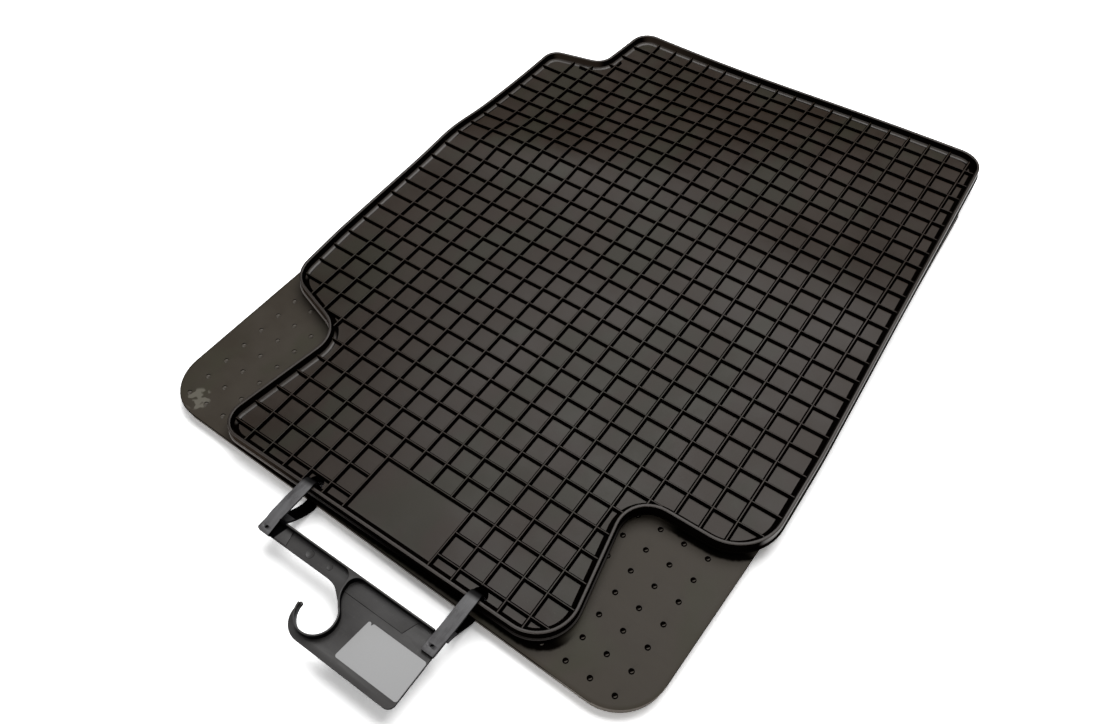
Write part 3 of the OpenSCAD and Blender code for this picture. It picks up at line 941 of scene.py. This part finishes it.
def under_upper_shadow(n):
    """Painted shadow of the upper mat on the lower mat: black along the upper mat's near edges."""
    x, y, _ = n.spot()
    ragged = n.math("MULTIPLY", n.noise(300.0, 2.0), 0.0016)
    sideways = n.math("SUBTRACT", n.math("ABSOLUTE", n.math("SUBTRACT", x, END_X), 0.0), END_HALF_W)
    forward = n.math("SUBTRACT", y, END_Y)
    past_side = n.math("ADD", n.math("MULTIPLY", sideways, LEAN_COS), n.math("MULTIPLY", forward, LEAN_SIN))
    away = beyond_corner(n, n.math("ADD", past_side, END_R), n.math("SUBTRACT", END_Y + END_R, y), END_R)
    main = n.ramp(n.math("ADD", away, ragged), 0.0040, 0.0014)
    main = n.math("MULTIPLY", main, n.ramp(y, -0.2480, -0.2680))
    away = beyond_corner(n, n.math("SUBTRACT", x, EAR_X), n.math("SUBTRACT", EAR_Y, y), EAR_R)
    ear = n.ramp(n.math("ADD", away, ragged), 0.0068, 0.0040)
    ear = n.math("MULTIPLY", ear, n.math("MULTIPLY", n.ramp(x, 0.158, 0.180), n.ramp(y, -0.1240, -0.1330)))
    return n.math("MAXIMUM", main, ear)


# Middle of the pale scuffs on the lower mat's back
SCUFF_X, SCUFF_Y = -0.2115, -0.2650


def back_light(n, colour):
    """The back has painted shadow, black, along the upper mat's edge, and pale scuffs at the left corner."""
    x, y, _ = n.spot()
    across, along = n.math("SUBTRACT", x, SCUFF_X), n.math("SUBTRACT", y, SCUFF_Y)
    square = n.math("ADD", n.math("MULTIPLY", across, across), n.math("MULTIPLY", along, along))
    round_spot = n.ramp(n.math("SQRT", square, 0.0), 0.0120, 0.0090)
    patch = n.math("MULTIPLY", round_spot, n.ramp(n.noise(150.0, 1.0, 0.5), 0.45, 0.55))
    colour = n.mix(n.math("MULTIPLY", patch, 0.7), colour, SCUFF)
    under_shadow = under_upper_shadow(n)
    return n.mix(n.math("MULTIPLY", under_shadow, 0.97), colour, BLACK), n.ramp(under_shadow, 0.0, 1.0, 0.10, 0.0)


def side_light(n, _colour):
    """Near walls of the lower mat: black as painted shadow under the upper mat, and pale as painted light
    towards the floor and at the wing.
    """
    x, _, z = n.spot()
    lit = n.math("MAXIMUM", n.ramp(z, 0.0078, 0.0010), n.ramp(x, 0.148, 0.175))
    return n.mix(lit, BLACK, SIDE_PAINTED_LIGHT), n.ramp(lit, 0.0, 1.0, 0.0, 0.12)


def nub_light(n, colour):
    """Nubs are black as painted shade, with a painted glint to the front and right, and at the left all over
    the near side.
    """
    left = n.ramp(n.spot()[0], -0.120, -0.180, 0.0, 0.4)
    lit = n.math("MULTIPLY", n.ramp(n.math("ADD", n.leaning(0.8, 0.6), left), 0.22, 0.40),
                 n.ramp(n.math("ADD", n.facing()[2], left), 0.62, 0.80))
    return n.mix(lit, colour, NUB_GLINT), n.ramp(lit, 0.0, 1.0, 0.0, 0.28)


# Dark and light of the cloudy colour, and the dust on it. The black is painted shade for steep faces, and the
# rim top's colours are a little lighter than the floor's as painted sheen
BLACK_MIX = (BLACK, (0.0014, 0.0010, 0.0008), (0.012, 0.010, 0.009))
FACE_MIX = ((0.020, 0.0130, 0.0085), (0.027, 0.0185, 0.0130), (0.09, 0.08, 0.07))
EDGE_MIX = ((0.023, 0.0175, 0.0140), (0.033, 0.0260, 0.0220), (0.09, 0.08, 0.07))
BACK_MIX = ((0.037, 0.0300, 0.0225), (0.049, 0.0415, 0.0325), (0.11, 0.10, 0.09))

upper_face = rubber("rubber_face_grey", *FACE_MIX, 0.37, 0.19, tint=(0.0225, 0.0205, 0.0125))
# Black of painted shade for the steep faces, with painted sheen on those towards the back and left
rubber_shade_sheen = rubber("rubber_shade_sheen", *BLACK_MIX, 0.42, bloom=0.4, over=away_light)
upper_wall = rubber("rubber_wall_shade_highlight", *BLACK_MIX, 0.36, bloom=0.4, over=wall_light)
# The rim's top is a little lighter and glossier than the floor: painted sheen
upper_edge = rubber("rubber_rim_top_sheen", *EDGE_MIX, 0.38, 0.28)
upper_lip = rubber("rubber_lip_highlight", *BLACK_MIX, 0.45, over=lip_light)
lower_face = rubber("rubber_back_grey", *BACK_MIX, 0.42, tint=(0.041, 0.0380, 0.0260), over=back_light)
lower_side = rubber("rubber_side_light_shadow", *BLACK_MIX, 0.6, over=side_light)
lower_nub = rubber("rubber_nub_shade_glint", *BLACK_MIX, 0.5, over=nub_light)
# One material for each of FLAT, WALL, TOP, LIP or NUB, and PLAIN
UPPER_RUBBER = (upper_face, upper_wall, upper_edge, upper_lip, rubber_shade_sheen)
LOWER_RUBBER = (lower_face, rubber_shade_sheen, lower_side, lower_nub, rubber_shade_sheen)


def plastic(name, shade_colour, dark, light, rough, gloss, along, over=None):
    """Black plastic: flat faces with pale scratches, steep ones the near black of painted shade, with streaks
    along the flow.

    A function given as over says where to paint that black of shade as well.
    """
    n = Nodes(name)
    flow = n.ramp(n.noise(120.0, 4.0, 0.65, along), 0.35, 0.68)
    cloud = n.ramp(n.noise(28.0, 3.0, 0.6), 0.32, 0.7)
    colour = n.mix(n.math("MULTIPLY", flow, 0.65), n.mix(cloud, dark, light), light)
    scratch = n.ramp(n.noise(700.0, 2.0, 0.5, (along[1], along[0], 1.0)), 0.66, 0.72, 0.0, 0.35)
    colour = n.mix(scratch, colour, tuple(1.8 * c for c in light))
    flatness = n.ramp(n.math("ABSOLUTE", n.facing()[2], 0.0), 0.5, 0.9)
    colour = n.mix(flatness, shade_colour, colour)
    bright = n.ramp(flatness, 0.0, 1.0, 0.02, gloss)
    if over:
        shade = over(n)
        colour = n.mix(shade, colour, shade_colour)
        bright = n.math("MULTIPLY", bright, n.math("SUBTRACT", 1.0, shade))
    grain = n.noise(1800.0, 2.0, 0.6)
    normal = n.bump(n.noise(210.0, 3.0, 0.6, along), 0.0001, 0.5)
    normal = n.bump(grain, 0.00003, 0.6, normal)
    blotch = n.math("ADD", n.math("MULTIPLY", flow, 0.6), n.math("MULTIPLY", grain, 0.4))
    roughness = n.ramp(blotch, 0.2, 0.8, rough - 0.06, rough + 0.08)
    return n.finish(colour, roughness, normal, bright)


def strap_shade(n):
    """Painted shadow of the left strap's end on the bar, between the strap and a slanting line."""
    x, y, _ = n.spot()
    slant = n.math("ADD", x, n.math("MULTIPLY", n.math("ADD", y, 0.3095), -0.25))
    return n.math("MULTIPLY", n.ramp(slant, -0.0583, -0.0592), n.ramp(x, -0.0690, -0.0670))


def bend_shade(n):
    """Painted shade on a strap where it turns down into its hole."""
    return n.ramp(n.spot()[1], -0.2795, -0.2745, 0.0, 0.9)


def paper(name):
    """Pale label stock with faint fibres and a little grime."""
    n = Nodes(name)
    fibre = n.ramp(n.noise(900.0, 4.0, 0.7, (1.0, 3.0, 1.0)), 0.3, 0.7)
    grime = n.ramp(n.noise(30.0, 3.0, 0.6), 0.5, 0.8, 0.0, 0.5)
    colour = n.mix(fibre, (0.350, 0.350, 0.354), (0.372, 0.372, 0.372))
    colour = n.mix(grime, colour, (0.335, 0.331, 0.327))
    normal = n.bump(n.noise(1500.0, 3.0, 0.6), 0.00003, 0.5)
    return n.finish(colour, n.ramp(fibre, 0.0, 1.0, 0.5, 0.62), normal, 0.35)


# Near black of painted shade on the plastic's steep faces and shaded places
PLASTIC_SHADE = (0.0015, 0.0015, 0.0017)
hanger_plastic = plastic("hanger_plastic_black", PLASTIC_SHADE, (0.032, 0.0300, 0.0295), (0.048, 0.0460, 0.045),
                         0.44, 0.3, (0.4, 2.0, 1.0), strap_shade)
tongue_plastic = plastic("tongue_plastic_grey", PLASTIC_SHADE, (0.045, 0.042, 0.044), (0.118, 0.117, 0.120),
                         0.42, 0.35, (3.0, 0.6, 0.6), bend_shade)
# The black of a foot's far part is painted shadow
tongue_shade = plastic("tongue_plastic_shadow", (0.0006, 0.0006, 0.0007), (0.0008, 0.0008, 0.0009),
                       (0.0014, 0.0014, 0.0014), 0.6, 0.01, (3.0, 0.3, 0.3))
label_film = paper("label_film_pale")


def dress(obj, body, materials):
    """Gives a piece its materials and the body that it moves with."""
    for material in materials:
        obj.data.materials.append(material)
    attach(obj, body)


def paint(obj, shades):
    """Gives each face its material by number."""
    obj.data.polygons.foreach_set("material_index", shades.astype(np.int32))


# ---------------------------------------------------------------- the mats
upper, upper_shades = build_upper_mat()
for piece, shades in zip(upper, upper_shades):
    dress(piece, "upper_mat", UPPER_RUBBER)
    paint(piece, shades)
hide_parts("upper_mat")

lower, lower_shades = build_lower_mat()
for piece, shades in zip(lower, lower_shades):
    dress(piece, "lower_mat", LOWER_RUBBER)
    paint(piece, shades)
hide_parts("lower_mat")

# ---------------------------------------------------------------- hanger, tongues, label
hanger, marks = build_hanger()
for piece in (hanger, marks):
    dress(piece, "hanger", (hanger_plastic,))
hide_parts("hanger")

for side, x in (("left", LEFT_TONGUE_X), ("right", RIGHT_TONGUE_X)):
    foot, band = build_strap(side, x)
    dress(foot, "hanger", (tongue_plastic, tongue_shade))
    paint(foot, face_data(foot)[0][:, 1] > FOOT_SHADOW_Y)
    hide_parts(side + "_tongue_root")
    band.data.materials.append(tongue_plastic)
    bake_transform(band)
    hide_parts(side + "_tongue_end")

label = build_label()
dress(label, "hanger", (label_film,))
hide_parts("label")

# ---------------------------------------------------------------- stage
FLOOR_HALF = 6.0
FLOOR_DROP = 0.0002
# The floor's colour in the light that it gives, and its colour where it is seen, which is white
FLOOR_PALE = (0.80, 0.80, 0.80)
FLOOR_SEEN = (1.7, 1.7, 1.7)
WORLD_LEVEL = 0.22


def make_stage():
    """The plain floor and the world's even light."""
    mesh = bpy.data.meshes.new("floor")
    corners = [(x * FLOOR_HALF, y * FLOOR_HALF, 0) for x, y in ((-1, -1), (1, -1), (1, 1), (-1, 1))]
    mesh.from_pydata(corners, [], [(0, 1, 2, 3)])
    floor = bpy.data.objects.new("floor", mesh)
    bpy.context.scene.collection.objects.link(floor)
    floor.location.z = -FLOOR_DROP
    n = Nodes("floor_white")
    diffuse = n.add("ShaderNodeBsdfDiffuse")
    path = n.add("ShaderNodeLightPath")
    seen = n.math("MAXIMUM", path.outputs["Is Camera Ray"],
                  n.math("MAXIMUM", path.outputs["Is Glossy Ray"], path.outputs["Is Transmission Ray"]))
    n.link(n.mix(seen, FLOOR_PALE, FLOOR_SEEN), diffuse.inputs["Color"])
    output = n.add("ShaderNodeOutputMaterial")
    n.link(diffuse.outputs[0], output.inputs["Surface"])
    floor.data.materials.append(n.material)

    world = bpy.data.worlds.new("studio")
    bpy.context.scene.world = world
    world.use_nodes = True
    background = world.node_tree.nodes["Background"]
    background.inputs["Color"].default_value = (1.0, 1.0, 1.0, 1.0)
    background.inputs["Strength"].default_value = WORLD_LEVEL


def lamp(name, place, aim, size, power):
    """A large soft lamp that faces a point."""
    data = bpy.data.lights.new(name, "AREA")
    data.shape = "RECTANGLE"
    data.size, data.size_y = size
    data.energy = power
    obj = bpy.data.objects.new(name, data)
    bpy.context.scene.collection.objects.link(obj)
    obj.location = place
    obj.rotation_euler = (Vector(aim) - Vector(place)).to_track_quat("-Z", "Y").to_euler()


make_stage()
lamp("overhead_soft", (-0.08, 0.74, 1.7), (0.06, 0.24, 0), (1.85, 1.5), 42)
lamp("near_fill", (0.10, -2.3, 0.42), (0.0, -0.2, 0), (2.4, 0.5), 30)

# ---------------------------------------------------------------- camera
# Found from the rib lattice: focal length in pixels of the photograph, the photograph's width and the place
FOCAL_PIXELS = 942.196
PHOTO_PIXELS = 1100.0
SENSOR_W = 36.0
camera_data = bpy.data.cameras.new("camera")
camera_data.sensor_width = SENSOR_W
camera_data.lens = FOCAL_PIXELS * SENSOR_W / PHOTO_PIXELS
camera_data.clip_start = 0.01
camera = bpy.data.objects.new("camera", camera_data)
bpy.context.scene.collection.objects.link(camera)
camera.matrix_world = Matrix((
    (0.81799363, -0.45217355, 0.35556365, 0.29413),
    (0.57493991, 0.66222167, -0.48052737, -0.45387),
    (-0.01818019, 0.59749606, 0.80166573, 0.65421),
    (0.0, 0.0, 0.0, 1.0),
))
bpy.context.scene.camera = camera
bpy.context.scene.view_settings.view_transform = "Standard"

bpy.context.view_layer.update()
